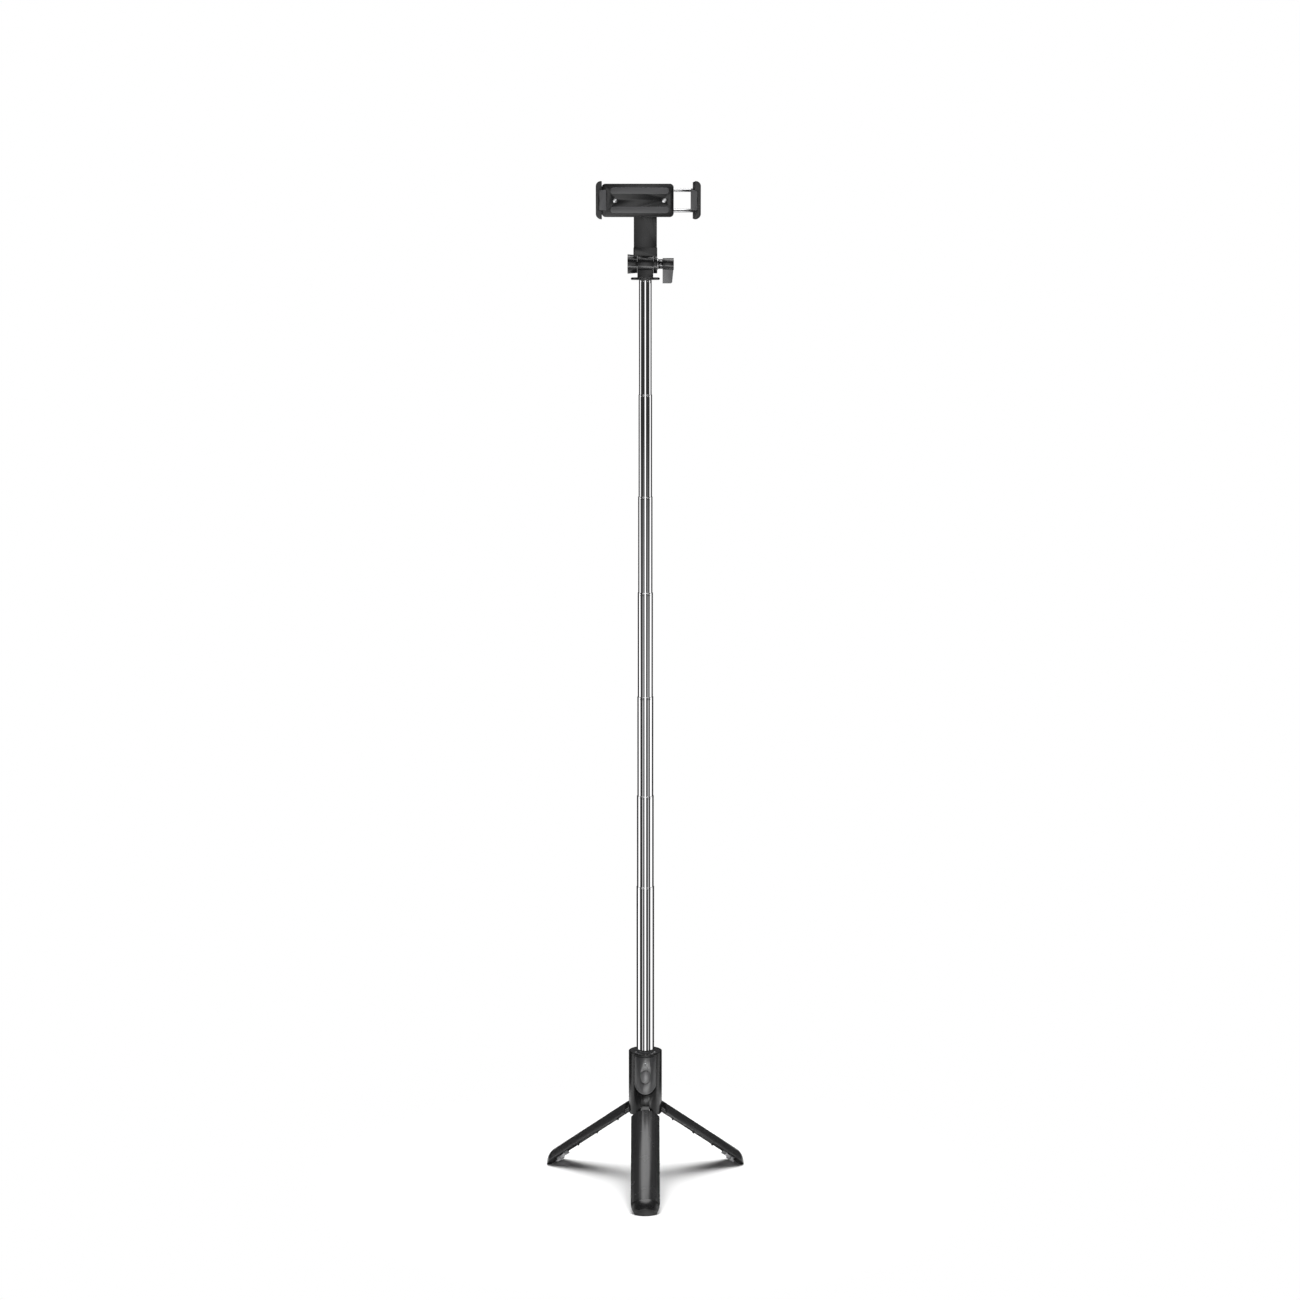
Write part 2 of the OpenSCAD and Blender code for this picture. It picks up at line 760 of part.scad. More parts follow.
module jaw_fixed() { color("#141415") translate([-fixed_x, 0, 0]) mirror([1, 0, 0]) jaw(0); }
module pad_fixed() { color("#3b3b3c") translate([-fixed_x, 0, 0]) mirror([1, 0, 0]) pad(); }
module jaw_moving() {
    color("#141415") difference() {
        translate([moving_x, 0, 0]) jaw(root_moving);
        for (s = [-1, 1]) translate([0, -rod_y, clamp_z + s * rod_z]) rod_x(rod_r, 0, moving_x + 3.5);
    }
}
module pad_moving() { color("#3b3b3c") translate([moving_x, 0, 0]) pad(); }

module guide_rods() {
    color("silver") for (s = [-1, 1]) translate([0, -rod_y, clamp_z + s * rod_z]) {
        rod_x(rod_r, rod_end, moving_x + 3.5);
        rod_x(rod_stop_r, rod_end, rod_end + rod_stop_l);
    }
}

module clamp_springs() {
    color("silver") for (s = [-1, 1]) translate([0, -rod_y, clamp_z + s * rod_z]) difference() {
        rod_x(spring_r, rod_end + rod_stop_l + 0.05, cavity_to - 0.05);
        rod_x(spring_r - spring_wire, rod_end, cavity_to + 1);
    }
}

handle_housing();
housing_collar();
pole_bush();
hinge_pins();
leg_shell(leg_angles[0]);  // leg_front_shell
leg_knuckle(leg_angles[0]);  // leg_front_knuckle
leg_tip(leg_angles[0]);  // leg_front_tip
leg_sole(leg_angles[0]);  // leg_front_sole
leg_catch(leg_angles[0]);  // leg_front_catch
leg_shell(leg_angles[1]);  // leg_left_shell
leg_knuckle(leg_angles[1]);  // leg_left_knuckle
leg_tip(leg_angles[1]);  // leg_left_tip
leg_sole(leg_angles[1]);  // leg_left_sole
leg_catch(leg_angles[1]);  // leg_left_catch
leg_shell(leg_angles[2]);  // leg_right_shell
leg_knuckle(leg_angles[2]);  // leg_right_knuckle
leg_tip(leg_angles[2]);  // leg_right_tip
leg_sole(leg_angles[2]);  // leg_right_sole
leg_catch(leg_angles[2]);  // leg_right_catch
remote_front();
remote_back();
remote_button();
remote_board();
coin_cell();
cell_clip();
dome_switch();
indicator();
tube(1);  // tube_1
tube(2);  // tube_2
tube(3);  // tube_3
tube(4);  // tube_4
tube(5);  // tube_5
tube(6);  // tube_6
tube(7);  // tube_7
glide(1);  // glide_1
glide(2);  // glide_2
glide(3);  // glide_3
glide(4);  // glide_4
glide(5);  // glide_5
glide(6);  // glide_6
glide(7);  // glide_7
head_base();
tilt_arm();
tilt_screw();
tilt_lever();
tilt_nut();
tilt_washer();
swivel_screw();
swivel_washer();
clamp_body();
clamp_cover();
cover_screws();
back_pad();
jaw_fixed();
pad_fixed();
jaw_moving();
pad_moving();
guide_rods();
clamp_springs();
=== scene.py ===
import math

import bmesh
import bpy
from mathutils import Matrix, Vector


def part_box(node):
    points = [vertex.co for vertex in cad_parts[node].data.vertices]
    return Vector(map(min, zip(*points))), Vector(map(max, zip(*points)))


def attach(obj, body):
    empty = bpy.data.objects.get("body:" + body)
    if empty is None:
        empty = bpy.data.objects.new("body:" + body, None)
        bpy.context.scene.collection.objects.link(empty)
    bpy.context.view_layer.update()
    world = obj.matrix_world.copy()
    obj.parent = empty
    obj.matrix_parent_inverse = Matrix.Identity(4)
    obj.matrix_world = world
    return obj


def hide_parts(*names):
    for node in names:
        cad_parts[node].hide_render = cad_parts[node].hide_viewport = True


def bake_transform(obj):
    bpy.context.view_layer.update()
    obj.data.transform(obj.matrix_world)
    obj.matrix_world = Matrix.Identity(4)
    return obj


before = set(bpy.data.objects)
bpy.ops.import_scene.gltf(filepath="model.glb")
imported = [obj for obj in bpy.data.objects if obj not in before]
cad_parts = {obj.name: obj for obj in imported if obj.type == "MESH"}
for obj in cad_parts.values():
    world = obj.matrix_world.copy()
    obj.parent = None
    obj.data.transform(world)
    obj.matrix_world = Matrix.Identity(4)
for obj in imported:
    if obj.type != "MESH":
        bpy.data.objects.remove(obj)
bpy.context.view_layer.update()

# ---------------------------------------------------------------- camera
# A long lens a little over two metres away, level with the upper pole and pitched down to the feet.
camera = bpy.data.objects.new("camera", bpy.data.cameras.new("camera"))
bpy.context.scene.collection.objects.link(camera)
bpy.context.scene.camera = camera
camera_distance = 2.304
camera_height = 0.763
pitch_down = 7.85
camera.location = (0, -camera_distance, camera_height)
camera.rotation_euler = (math.radians(90 - pitch_down), 0, 0)
camera.data.sensor_width = 36
camera.data.lens = 79.2
camera.data.shift_x = 0.0036
camera.data.clip_end = 50

# ---------------------------------------------------------------- floor
# A pale matt table top under the feet. It thins out to nothing away from the stick, so that no edge
# or horizon shows in front of the white surroundings.
def node_tools(owner):
    """Empties the node tree of a material or world. Returns its link function, and one that adds a node."""
    owner.use_nodes = True
    tree = owner.node_tree
    tree.nodes.clear()

    def add(kind, **values):
        node = tree.nodes.new("ShaderNode" + kind)
        for key, value in values.items():
            if key[0].isupper():
                node.inputs[key].default_value = value
            else:
                setattr(node, key, value)
        return node

    return tree.links.new, add


def new_material(name):
    """An empty material, its link and add functions, and its output node."""
    material = bpy.data.materials.new(name)
    link, add = node_tools(material)
    return material, link, add, add("OutputMaterial")


def map_range(add, low=0.0, high=1.0, out_low=0.0, out_high=1.0, **values):
    """A node that maps low..high to out_low..out_high."""
    node = add("MapRange", **values)
    for name, value in (("From Min", low), ("From Max", high), ("To Min", out_low), ("To Max", out_high)):
        node.inputs[name].default_value = value
    return node


def floor_material(solid, gone):
    """Matt white that is solid out to the radius solid and clear from the radius gone."""
    material, link, add, output = new_material("floor_white")
    place = add("TexCoord")
    distance = add("VectorMath", operation="LENGTH")
    fade = map_range(add, solid, gone, interpolation_type="SMOOTHERSTEP")
    grain = add("TexNoise", Scale=420.0, Detail=4.0)
    relief = add("Bump", Strength=0.08, Distance=0.0004)
    white = add("BsdfDiffuse", Color=(0.93, 0.93, 0.93, 1), Roughness=0.6)
    clear = add("BsdfTransparent")
    mix = add("MixShader")
    link(place.outputs["Object"], distance.inputs[0])
    link(distance.outputs["Value"], fade.inputs["Value"])
    link(place.outputs["Object"], grain.inputs["Vector"])
    link(grain.outputs["Fac"], relief.inputs["Height"])
    link(relief.outputs["Normal"], white.inputs["Normal"])
    link(fade.outputs["Result"], mix.inputs[0])
    link(white.outputs[0], mix.inputs[1])
    link(clear.outputs[0], mix.inputs[2])
    link(mix.outputs[0], output.inputs["Surface"])
    return material


def ring_of(bm, radius, z, count):
    """A level ring of corners round the stick's axis."""
    return [bm.verts.new((radius * math.cos(2 * math.pi * k / count),
                          radius * math.sin(2 * math.pi * k / count), z)) for k in range(count)]


def join_rings(bm, rings, closed=False):
    """Faces between each ring and the next; closed joins the last to the first."""
    pairs = zip(rings, rings[1:] + rings[:1]) if closed else zip(rings, rings[1:])
    for low, high in pairs:
        for k in range(len(low)):
            n = (k + 1) % len(low)
            bm.faces.new((low[k], low[n], high[n], high[k]))


def finished(bm, name, material):
    """Turns a bmesh into a smooth object with outward normals and its material."""
    bmesh.ops.recalc_face_normals(bm, faces=bm.faces)
    mesh = bpy.data.meshes.new(name)
    bm.to_mesh(mesh)
    bm.free()
    mesh.materials.append(material)
    for polygon in mesh.polygons:
        polygon.use_smooth = True
    piece = bpy.data.objects.new(name, mesh)
    bpy.context.scene.collection.objects.link(piece)
    return piece


floor_reach = 0.3
floor_top = -0.00015
floor_solid_to = 0.13
floor_gone_from = floor_reach * 0.97
ring_total = 8
floor_sides = 96
floor_bm = bmesh.new()
floor_rings = [ring_of(floor_bm, floor_reach * (k + 1) / ring_total, floor_top, floor_sides)
               for k in range(ring_total)]
join_rings(floor_bm, floor_rings)
floor_bm.faces.new(floor_rings[0])
floor = finished(floor_bm, "floor", floor_material(floor_solid_to, floor_gone_from))

# ---------------------------------------------------------------- studio light
# White surroundings for the eye, but what shines on the stick is a ring of tall soft boxes with dark
# flags between them, a dark band above it, a bright ceiling and a pale table below.
def ramp_node(add, stops, interpolation):
    """A colour ramp from (position, brightness, cover) stops."""
    node = add("ValToRGB")
    node.color_ramp.interpolation = interpolation
    elements = node.color_ramp.elements
    while len(elements) > 1:
        elements.remove(elements[-1])
    for k, (position, level, cover) in enumerate(stops):
        stop = elements.new(position) if k else elements[0]
        stop.position = position
        stop.color = (level, level, level, cover)
    return node


mix_first, mix_second, mix_result = 6, 7, 2


def surroundings(boxes, strips, flag, edge, strips_from, strips_full, heights):
    """A ring of soft boxes, seen only by what shines; the eye sees plain white.

    Boxes are (from, to, brightness) in degrees to the right of the camera, edge is half the width of their
    soft edges, and flag is the brightness between them. Strips are boxes that come in below the sine
    strips_from. Heights are (sine, brightness, cover) and lie over the ring."""
    world = bpy.data.worlds.new("studio")
    bpy.context.scene.world = world
    link, add = node_tools(world)
    way = add("TexCoord")
    split = add("SeparateXYZ")
    back = add("Math", operation="MULTIPLY")
    back.inputs[1].default_value = -1
    turn = add("Math", operation="ARCTAN2")
    part = map_range(add, -math.pi, math.pi)

    def ring_ramp(lit, dark):
        stops = [(0, dark, 1)]
        for start, end, level in lit:
            corners = ((start - edge, dark), (start + edge, level), (end - edge, level), (end + edge, dark))
            stops += [((degrees + 180) / 360, value, 1) for degrees, value in corners]
        return ramp_node(add, stops, "LINEAR")

    ring = ring_ramp(boxes, flag)
    low_ring = ring_ramp(strips, 0.0)
    low = map_range(add, strips_from, strips_full)
    together = add("Mix", data_type="RGBA", blend_type="ADD")
    rise = map_range(add, -1)
    above = ramp_node(add, [((sine + 1) / 2, level, cover) for sine, level, cover in heights], "EASE")
    both = add("Mix", data_type="RGBA")
    seen = add("LightPath")
    light = add("Background")
    backdrop = add("Background", Color=(1, 1, 1, 1))
    mix = add("MixShader")
    output = add("OutputWorld")
    link(way.outputs["Generated"], split.inputs[0])
    link(split.outputs["Y"], back.inputs[0])
    link(split.outputs["X"], turn.inputs[0])
    link(back.outputs[0], turn.inputs[1])
    link(turn.outputs[0], part.inputs["Value"])
    link(part.outputs["Result"], ring.inputs["Fac"])
    link(part.outputs["Result"], low_ring.inputs["Fac"])
    link(split.outputs["Z"], low.inputs["Value"])
    link(low.outputs["Result"], together.inputs[0])
    link(ring.outputs["Color"], together.inputs[mix_first])
    link(low_ring.outputs["Color"], together.inputs[mix_second])
    link(split.outputs["Z"], rise.inputs["Value"])
    link(rise.outputs["Result"], above.inputs["Fac"])
    link(above.outputs["Alpha"], both.inputs[0])
    link(together.outputs[mix_result], both.inputs[mix_first])
    link(above.outputs["Color"], both.inputs[mix_second])
    link(both.outputs[mix_result], light.inputs["Color"])
    link(seen.outputs["Is Camera Ray"], mix.inputs[0])
    link(light.outputs[0], mix.inputs[1])
    link(backdrop.outputs[0], mix.inputs[2])
    link(mix.outputs[0], output.inputs["Surface"])


surroundings(
    boxes=[(-108, -88, 1.35), (-10, 10, 1.35), (80, 108, 1.2)],
    strips=[(-90, -75, 1.0), (-40, -30, 0.8), (36, 46, 0.8), (70, 82, 1.0)],
    flag=0.035, edge=2, strips_from=-0.06, strips_full=-0.15,
    heights=[(-1, 0.4, 1), (-0.6, 0.8, 1), (-0.42, 1.6, 1), (-0.34, 0.3, 0), (0.28, 0, 0), (0.4, 0.02, 1),
             (0.84, 0.02, 1), (0.92, 4.6, 1), (1, 4.6, 1)])


def soft_box(name, place, target, width, height, power, only_on=None):
    """A rectangular lamp; with only_on, that collection alone is lit by it and shades it."""
    data = bpy.data.lights.new(name, "AREA")
    data.shape = "RECTANGLE"
    data.size = width
    data.size_y = height
    data.energy = power
    lamp = bpy.data.objects.new(name, data)
    bpy.context.scene.collection.objects.link(lamp)
    lamp.location = place
    lamp.rotation_euler = (Vector(target) - Vector(place)).to_track_quat("-Z", "Y").to_euler()
    lamp.visible_camera = False
    if only_on:
        lamp.light_linking.receiver_collection = only_on
        lamp.light_linking.blocker_collection = only_on
    return lamp


moulded = bpy.data.collections.new("moulded")
bpy.context.scene.collection.children.link(moulded)
overhead = soft_box("overhead", (0, 0, 1.9), (0, 0, 0), width=0.8, height=0.8, power=13)
overhead.visible_glossy = False
soft_box("front", (0.27, -1.88, -0.53), (0, 0, 0.09), width=1.5, height=0.5, power=14, only_on=moulded)
for name, across in (("left", -1.4), ("right", 1.4)):
    soft_box(name, (across, 0.3, -0.3), (0, 0, 0.1), width=0.4, height=0.9, power=1, only_on=moulded)
bpy.context.scene.view_settings.view_transform = "Standard"

# ---------------------------------------------------------------- handle housing
# Injection-moulded black ABS: a short tube with a spark-eroded satin skin, a skirt in three arches over
# the legs, and a recess in front for the remote. Every edge has the small round that a mould leaves.
def tint_node(add, colour, darkest, lightest):
    """A mix of two strengths of one colour."""
    node = add("Mix", data_type="RGBA")
    for socket, strength in ((mix_first, darkest), (mix_second, lightest)):
        node.inputs[socket].default_value = (*[c * strength for c in colour], 1)
    return node


def plastic(name, colour, rough, grain=0.00035, relief=0.25, sheen_change=0.08, edge_wear_and_highlight=0.03, gloss=0.5):
    """Moulded plastic: fine skin grain, slow colour and gloss changes, and edges a little lighter in
    patches, partly rubbed wear and partly a painted edge highlight.
    """
    material, link, add, output = new_material(name)
    place = add("TexCoord")
    fine = add("TexNoise", Scale=1 / (2 * grain), Detail=3.0, Roughness=0.6)
    slow = add("TexNoise", Scale=60.0, Detail=4.0, Roughness=0.55)
    edge_patch_noise = add("TexNoise", Scale=900.0, Detail=5.0, Roughness=0.7)
    edges = add("NewGeometry")
    # Convex edges, found by pointiness, are lightened in noisy patches: partly rubbed wear, partly a painted
    # edge highlight.
    edge_wear_and_highlight_mask = map_range(add, 0.52, 0.62, 0, edge_wear_and_highlight)
    patchy = add("Math", operation="MULTIPLY")
    tint = tint_node(add, colour, 0.86, 1.14)
    edge_wear_and_highlight_tint = tint_node(add, (0.32, 0.32, 0.33), 1, 1)
    polish = map_range(add, 0.3, 0.7, rough - sheen_change, rough + sheen_change)
    bump = add("Bump", Strength=relief, Distance=0.00005)
    surface = add("BsdfPrincipled")
    surface.inputs["Specular IOR Level"].default_value = gloss
    for noise in (fine, slow, edge_patch_noise):
        link(place.outputs["Object"], noise.inputs["Vector"])
    link(edges.outputs["Pointiness"], edge_wear_and_highlight_mask.inputs["Value"])
    link(edge_wear_and_highlight_mask.outputs["Result"], patchy.inputs[0])
    link(edge_patch_noise.outputs["Fac"], patchy.inputs[1])
    link(slow.outputs["Fac"], tint.inputs[0])
    link(patchy.outputs[0], edge_wear_and_highlight_tint.inputs[0])
    link(tint.outputs[mix_result], edge_wear_and_highlight_tint.inputs[mix_first])
    link(edge_wear_and_highlight_tint.outputs[mix_result], surface.inputs["Base Color"])
    link(slow.outputs["Fac"], polish.inputs["Value"])
    link(polish.outputs["Result"], surface.inputs["Roughness"])
    link(fine.outputs["Fac"], bump.inputs["Height"])
    link(bump.outputs["Normal"], surface.inputs["Normal"])
    link(surface.outputs[0], output.inputs["Surface"])
    return material


def softened(node, body, material, round_edge=0.00025, steps=2, second=None, below=0, gap=0):
    """A new mesh from a part's solid with flat faces rejoined and every sharp edge rounded.

    Faces lower than below get the material second; gap draws the outline in, seen from the front."""
    bm = bmesh.new()
    bm.from_mesh(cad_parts[node].data)
    low, high = (Vector(corner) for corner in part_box(node))
    middle = (low + high) / 2
    for axis in (0, 2):
        shrink = 1 - 2 * gap / (high[axis] - low[axis])
        for vert in bm.verts:
            vert.co[axis] = middle[axis] + (vert.co[axis] - middle[axis]) * shrink
    same_point = 0.000002
    same_plane = math.radians(1.2)
    bmesh.ops.remove_doubles(bm, verts=bm.verts, dist=same_point)
    bmesh.ops.dissolve_limit(bm, angle_limit=same_plane, verts=bm.verts, edges=bm.edges)
    piece = finished(bm, node + "_moulded", material)
    rounding = piece.modifiers.new("rounding", "BEVEL")
    rounding.width = round_edge
    rounding.segments = steps
    rounding.limit_method = "ANGLE"
    rounding.angle_limit = math.radians(32)
    rounding.harden_normals = True
    rounding.miter_outer = "MITER_ARC"
    if second:
        piece.data.materials.append(second)
        for polygon in piece.data.polygons:
            polygon.material_index = int(polygon.center.z < below)
        rounding.material = 0
    moulded.objects.link(piece)
    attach(piece, body)
    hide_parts(node)


housing_satin = plastic("housing_satin", (0.005, 0.005, 0.0052), 0.24, relief=0.12, sheen_change=0.04,
                        gloss=0.3)
softened("handle_housing", "handle", housing_satin, 0.0003)

# ---------------------------------------------------------------- collar, bush and hinge pins
# The collar is a lighter ring pressed into the housing's mouth; the bush inside it is black acetal whose top
# rim is painted light grey as a painted highlight. The three pins are plated steel, pushed in from the side
# before the collar goes on.
collar_gloss = plastic("collar_gloss", (0.03, 0.03, 0.031), 0.3, relief=0.15)
softened("housing_collar", "handle", collar_gloss, 0.0003)
# The bush's topmost faces get a light grey, a painted highlight along its rim; the rest is black acetal.
bush_rim_painted_highlight = plastic("bush_rim_painted_highlight", (0.3, 0.3, 0.305), 0.3, relief=0.1)
acetal = plastic("acetal", (0.004, 0.004, 0.004), 0.35)
painted_highlight_depth = 0.0002
softened("pole_bush", "handle", bush_rim_painted_highlight, 0.0002,
         second=acetal, below=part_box("pole_bush")[1][2] - painted_highlight_depth)


def metal(name, colour, rough, marks=(1, 1, 1), change=0.05, relief=0.12):
    """Bare or plated metal: fine tool marks stretched along one way, and a slow change of polish."""
    material, link, add, output = new_material(name)
    place = add("TexCoord")
    stretch = add("Mapping")
    stretch.inputs["Scale"].default_value = marks
    lines = add("TexNoise", Scale=2600.0, Detail=4.0)
    slow = add("TexNoise", Scale=45.0, Detail=3.0)
    smoothest = 0.01
    polish = map_range(add, 0, 1, max(smoothest, rough - change), rough + change)
    tint = tint_node(add, colour, 0.94, 1)
    bump = add("Bump", Strength=relief, Distance=0.00002)
    surface = add("BsdfPrincipled", Metallic=1.0)
    link(place.outputs["Object"], stretch.inputs["Vector"])
    link(stretch.outputs["Vector"], lines.inputs["Vector"])
    link(place.outputs["Object"], slow.inputs["Vector"])
    link(slow.outputs["Fac"], polish.inputs["Value"])
    link(polish.outputs["Result"], surface.inputs["Roughness"])
    link(slow.outputs["Fac"], tint.inputs[0])
    link(tint.outputs[mix_result], surface.inputs["Base Color"])
    link(lines.outputs["Fac"], bump.inputs["Height"])
    link(bump.outputs["Normal"], surface.inputs["Normal"])
    link(surface.outputs[0], output.inputs["Surface"])
    return material


plated_steel = metal("plated_steel", (0.62, 0.62, 0.63), 0.24)
softened("hinge_pins", "handle", plated_steel, 0.00015)

# ---------------------------------------------------------------- legs
# Each leg is a third of a tube moulded in glossier black, ribbed inside, with a black hinge knuckle
# pushed into its upper end, a separate tip cap and a soft rubber sole that stands on the floor.
leg_gloss = plastic("leg_gloss", (0.02, 0.02, 0.0205), 0.26, relief=0.08, sheen_change=0.03, gloss=0.47)
tip_gloss = plastic("tip_gloss", (0.01, 0.01, 0.0105), 0.28, relief=0.08, sheen_change=0.03)
sole_rubber = plastic("sole_rubber", (0.007, 0.007, 0.007), 0.6, grain=0.0005, relief=0.6, edge_wear_and_highlight=0.02)
knuckle_black = plastic("knuckle_black", (0.008, 0.008, 0.008), 0.35)
catch_grey = plastic("catch_grey", (0.42, 0.42, 0.43), 0.42, relief=0.2)
for side in ("front", "left", "right"):
    body = "leg_" + side
    softened(body + "_shell", body, leg_gloss, 0.0004, 3)
    softened(body + "_knuckle", body, knuckle_black)
    softened(body + "_tip", body, tip_gloss, 0.0004, 3)
    softened(body + "_sole", body, sole_rubber, 0.0004, 3)
    softened(body + "_catch", body, catch_grey, 0.0002)

# ---------------------------------------------------------------- remote control
# Two thin satin shells snapped round a small board, a coin cell under a sprung contact, and a dome
# switch behind the oval button. A clear rod carries the indicator's light to the front, and a bead runs
# round the lower rim.
remote_satin = plastic("remote_satin", (0.035, 0.035, 0.0363), 0.28, relief=0.25, gloss=0.65)
button_satin = plastic("button_satin", (0.08, 0.08, 0.0825), 0.3, relief=0.2, gloss=0.65)
softened("remote_front", "remote", remote_satin, 0.0005, 3, gap=0.0005)
softened("remote_back", "remote", remote_satin, 0.0002)
softened("remote_button", "button", button_satin, 0.0003, 3, gap=0.00025)
solder_resist = plastic("solder_resist", (0.01, 0.09, 0.035), 0.3)
softened("remote_board", "remote", solder_resist, 0.0001)


def rim_bead(inset, radius):
    """A half-round bead along the remote's round lower edge, thinning out towards the sides."""
    low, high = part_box("remote_front")
    half_width = (high[0] - low[0]) / 2
    half = half_width - inset
    centre = low[2] + half_width
    below_surface = 0.00006
    front = -low[1] - below_surface
    thin_end = 0.25
    sunk = 0.7
    sides = 8
    steps = 48
    bm = bmesh.new()
    rings = []
    for k in range(steps + 1):
        angle = math.pi * (1 + k / steps)
        x, z = half * math.cos(angle), centre + half * math.sin(angle)
        thick = radius * (thin_end + (1 - thin_end) * math.sin(math.pi * k / steps))
        place = Vector((x, -math.sqrt(front ** 2 - x ** 2) + thick * sunk, z))
        outward = Vector((math.cos(angle), 0, math.sin(angle)))
        ring = []
        for j in range(sides):
            turn = 2 * math.pi * j / sides
            across = outward * thick * math.cos(turn) + Vector((0, thick * math.sin(turn), 0))
            ring.append(bm.verts.new(place + across))
        rings.append(ring)
    join_rings(bm, rings)
    bm.faces.new(rings[0])
    bm.faces.new(rings[-1])
    bead = finished(bm, "remote_rim", button_satin)
    moulded.objects.link(bead)
    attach(bead, "remote")


rim_bead(inset=0.0011, radius=0.0006)
cell_nickel = metal("cell_nickel", (0.66, 0.65, 0.62), 0.3)
for part in ("coin_cell", "cell_clip", "dome_switch"):
    softened(part, "remote", cell_nickel, 0.0001)
clear_rod = plastic("clear_rod", (0.6, 0.63, 0.66), 0.1)
softened("indicator", "remote", clear_rod, 0.0001)

# ---------------------------------------------------------------- pole
# Seven drawn steel tubes, chromed bright. Each is necked at its lower end for a spring bronze glide,
# and its rim is rolled in over the next tube.
tube_sides = 160
tube_wall = 0.0002
neck_length = 0.007
neck_step = 0.0002
neck_slope = 0.0003
neck_shoulder = 0.0008
straight_to = 0.0022
groove_at = 0.00145
groove_half = 0.00015
groove_depth = 0.00003
rim_roll = 0.00022
mouth_depth = 0.00031
mouth_length = 0.001
mouth_slope = 0.0004
chrome = metal("bright_chrome", (0.9, 0.9, 0.91), 0.03, marks=(1, 1, 0.02), change=0.02, relief=0.004)
spring_bronze = metal("spring_bronze", (0.62, 0.42, 0.2), 0.28)


def drawn_tube(node, outline):
    """A tube turned from an outline of (radius, height) points."""
    bm = bmesh.new()
    join_rings(bm, [ring_of(bm, r, z, tube_sides) for r, z in outline], closed=True)
    piece = finished(bm, node + "_drawn", chrome)
    piece.data.set_sharp_from_angle(angle=math.radians(40))
    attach(piece, node)
    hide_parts(node)


def rolled_rim(radius, top):
    """A quarter circle, in five steps, from the tube's side over into its end."""
    quarter = [math.radians(18 * k) for k in range(6)]
    return [(radius - rim_roll + rim_roll * math.cos(angle), top - rim_roll + rim_roll * math.sin(angle))
            for angle in quarter]


for number in range(1, 8):
    node = f"tube_{number}"
    low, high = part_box(node)
    radius, bottom, top = high[0], low[2], high[2]
    inner = radius - tube_wall
    mouth = inner if number == 1 else radius - mouth_depth
    neck = bottom + neck_length
    drawn_tube(node, [
        (inner - neck_step, bottom), (radius - neck_step, bottom), (radius - neck_step, neck),
        (radius, neck + neck_slope), (radius, neck + neck_shoulder), (radius, top - straight_to),
        (radius, top - groove_at - groove_half), (radius - groove_depth, top - groove_at),
        (radius, top - groove_at + groove_half), *rolled_rim(radius, top),
        (mouth, top), (mouth, top - mouth_length), (inner, top - mouth_length - mouth_slope),
        (inner, top - 2 * mouth_length), (inner, neck + neck_shoulder), (inner, neck + neck_slope),
        (inner - neck_step, neck),
    ])
    softened(f"glide_{number}", node, spring_bronze, 0.0001)

# ---------------------------------------------------------------- head
# Glossy black nylon. The flange closes the top tube, the knuckle above it stands between the two cheeks
# of the forked arm, and one screw through all three is tightened with the lever on the right.
head_gloss = plastic("head_gloss", (0.012, 0.012, 0.0125), 0.22, relief=0.12, sheen_change=0.05)
softened("head_base", "head", head_gloss, 0.0004, 3)
softened("tilt_arm", "arm", head_gloss, 0.0005, 3)
softened("tilt_nut", "arm", plated_steel, 0.00015)
softened("tilt_washer", "arm", plated_steel, 0.00015, gap=0.00003)
black_oxide = metal("black_oxide", (0.1, 0.1, 0.102), 0.2)
softened("tilt_screw", "lever", black_oxide, 0.0003)
lever_gloss = plastic("lever_gloss", (0.014, 0.014, 0.0145), 0.22, relief=0.12)
# The wing below the hub is rougher and a much lighter grey than the hub: the lighter grey is a painted
# reflection on what is one moulding.
lever_wing_painted_reflection = plastic("lever_wing_painted_reflection", (0.17, 0.17, 0.173), 0.42, relief=0.2)
hub_radius = 0.0047
below_hub = 0.0001
wing_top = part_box("tilt_lever")[1][2] - 2 * hub_radius - below_hub
softened("tilt_lever", "lever", lever_gloss, 0.0006, 3, second=lever_wing_painted_reflection, below=wing_top)

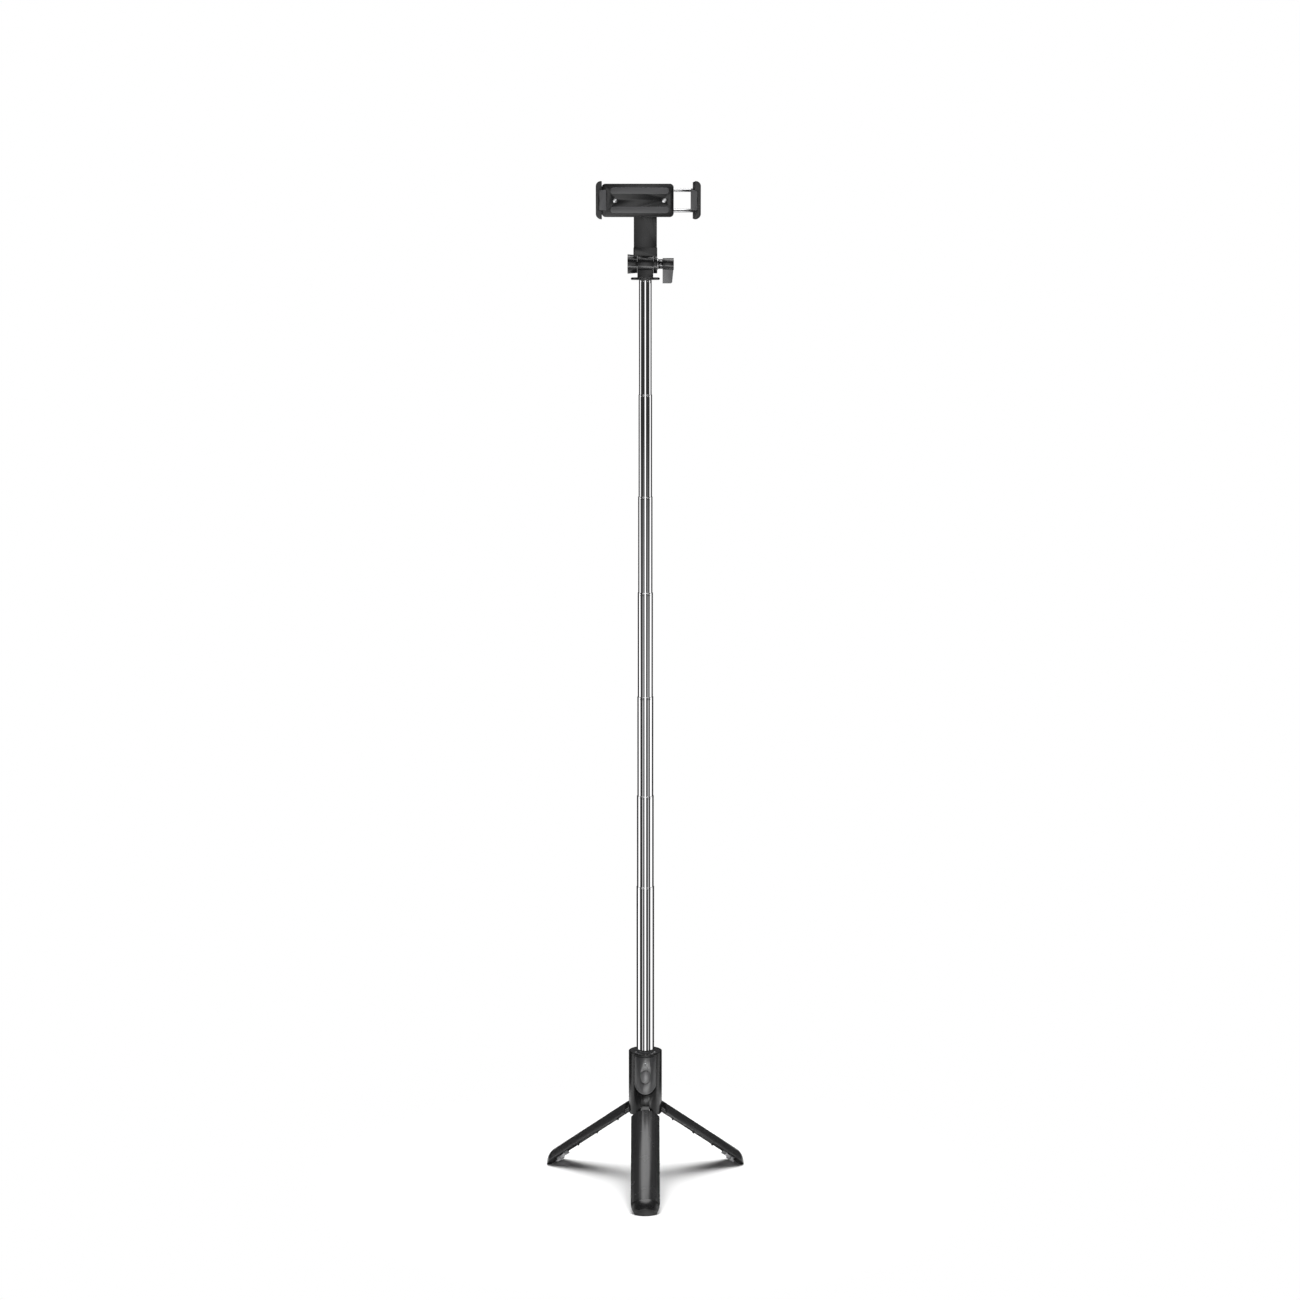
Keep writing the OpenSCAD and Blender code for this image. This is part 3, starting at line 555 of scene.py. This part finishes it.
# ---------------------------------------------------------------- phone clamp
# A flat glossy box that turns on one screw at the arm's head. Two steel rods slide in it and carry the
# moving jaw, and a coil spring round each pulls it in; both jaws hold a grey rubber pad with a lip.
for part in ("swivel_screw", "swivel_washer"):
    softened(part, "arm", plated_steel, 0.00015)
clamp_gloss = plastic("clamp_gloss", (0.012, 0.012, 0.0125), 0.25, relief=0.15)
pad_rubber = plastic("pad_rubber", (0.085, 0.085, 0.088), 0.42, grain=0.0005, relief=0.4)
softened("clamp_body", "clamp", clamp_gloss, 0.0004, 3)
softened("clamp_cover", "clamp", clamp_gloss, 0.0003)
softened("cover_screws", "clamp", plated_steel, 0.0001)
softened("back_pad", "clamp", pad_rubber, 0.0001)
softened("jaw_fixed", "clamp", clamp_gloss, 0.0004, 3)
softened("pad_fixed", "clamp", pad_rubber, 0.0002)
softened("jaw_moving", "jaw", clamp_gloss, 0.0004, 3)
softened("pad_moving", "jaw", pad_rubber, 0.0002)
softened("guide_rods", "jaw", plated_steel, 0.00015)


def coil(name, start, length, radius, wire, turns, closed_turns):
    """A round wire spring along X with closed ends, built where the clamp's springs lie between the clamp
    and the moving jaw.
    """
    bm = bmesh.new()
    steps_per_turn = 18
    sides = 8
    all_turns = turns + 2 * closed_turns
    slack = 1.02
    pitch_closed = 2 * wire * slack
    travel = length - 2 * wire
    rings = []
    for k in range(all_turns * steps_per_turn + 1):
        turn = k / steps_per_turn
        angle = 2 * math.pi * turn
        if turn < closed_turns:
            along = pitch_closed * turn
        elif turn > turns + closed_turns:
            along = travel - pitch_closed * (all_turns - turn)
        else:
            open_length = travel - 2 * pitch_closed * closed_turns
            along = pitch_closed * closed_turns + open_length * (turn - closed_turns) / turns
        ring = []
        for j in range(sides):
            around = 2 * math.pi * j / sides
            out = radius + wire * math.cos(around)
            ring.append(bm.verts.new((start[0] + wire + along + wire * math.sin(around),
                                      start[1] + out * math.cos(angle), start[2] + out * math.sin(angle))))
        rings.append(ring)
    join_rings(bm, rings)
    bm.faces.new(rings[0])
    bm.faces.new(rings[-1])
    piece = finished(bm, name, music_wire)
    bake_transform(piece)
    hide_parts("clamp_springs")


spring_low, spring_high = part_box("clamp_springs")
spring_radius = (spring_high[1] - spring_low[1]) / 2
spring_y = (spring_low[1] + spring_high[1]) / 2
inside_sleeve = 0.00002
wire_radius = 0.0002
music_wire = metal("music_wire", (0.5, 0.5, 0.5), 0.3)
for end, height in (("lower", spring_low[2] + spring_radius), ("upper", spring_high[2] - spring_radius)):
    coil("spring_" + end, (spring_low[0], spring_y, height), spring_high[0] - spring_low[0],
         spring_radius - wire_radius - inside_sleeve, wire_radius, turns=17, closed_turns=2)
